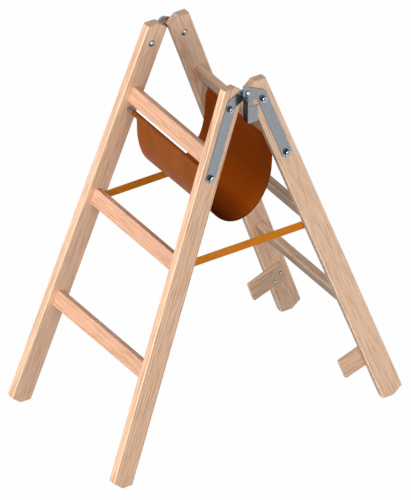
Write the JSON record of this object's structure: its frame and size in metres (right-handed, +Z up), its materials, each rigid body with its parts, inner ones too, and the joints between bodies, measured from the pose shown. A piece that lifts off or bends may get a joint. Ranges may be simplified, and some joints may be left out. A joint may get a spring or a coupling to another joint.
{
  "type": "trestle ladder",
  "caption": "Wooden double-sided rung ladder that folds about steel top hinges, with webbing stay straps and a leather tool sling hung between its top rungs.",
  "frame": {"origin": "on the floor, midway between the four feet", "axes": "+Z up; +X from the front frame to the rear frame, which carries the guide blocks; +Y along the rungs"},
  "size_m": [0.8146, 0.471, 0.9798],
  "materials": {
    "ash": "planed and clear-oiled",
    "hinge_steel": "zinc plated, satin",
    "fastener_steel": "zinc plated, bright",
    "leather": "smooth, waxed",
    "webbing": "flat woven"
  },
  "bodies": {
    "front_frame": {"front_stile_near": "ash", "front_stile_far": "ash", "front_rung_top": "ash", "front_rung_middle": "ash", "front_rung_bottom": "ash", "front_tie_rod": "fastener_steel", "front_hinge_leaf_near": "hinge_steel", "front_hinge_leaf_far": "hinge_steel", "hinge_rivet_near": "fastener_steel", "hinge_rivet_far": "fastener_steel", "front_hinge_bolts": "fastener_steel", "front_hinge_nuts": "fastener_steel", "front_hinge_washers": "fastener_steel", "stay_strap_near": "webbing", "stay_strap_far": "webbing", "front_strap_screws": "fastener_steel", "front_strap_washers": "fastener_steel", "tool_sling": "leather"},
    "rear_frame": {"rear_stile_near": "ash", "rear_stile_far": "ash", "rear_rung_top": "ash", "rear_rung_middle": "ash", "rear_rung_bottom": "ash", "rear_tie_rod": "fastener_steel", "rear_hinge_leaf_near": "hinge_steel", "rear_hinge_leaf_far": "hinge_steel", "rear_hinge_bolts": "fastener_steel", "rear_hinge_nuts": "fastener_steel", "rear_hinge_washers": "fastener_steel", "guide_block_near": "ash", "guide_block_far": "ash", "guide_block_screws": "fastener_steel", "rear_strap_screws": "fastener_steel", "rear_strap_washers": "fastener_steel"},
    "hinge_guard": {"hinge_guard": "hinge_steel"}
  },
  "joints": [
    {"name": "fold", "type": "hinge", "parent": "front_frame", "child": "rear_frame", "pos_m": [0, 0, 0.96071], "axis": [0, 1, 0], "range_deg": [0, 40], "deforming": ["stay_strap_near", "stay_strap_far", "tool_sling"]},
    {"name": "guard_swing", "type": "hinge", "parent": "front_frame", "child": "hinge_guard", "pos_m": [0, 0, 0.96071], "axis": [0, 1, 0], "range_deg": [0, 20]}
  ],
  "couplings": [
    {"joint": "guard_swing", "follows": "fold", "ratio": 0.5}
  ]
}
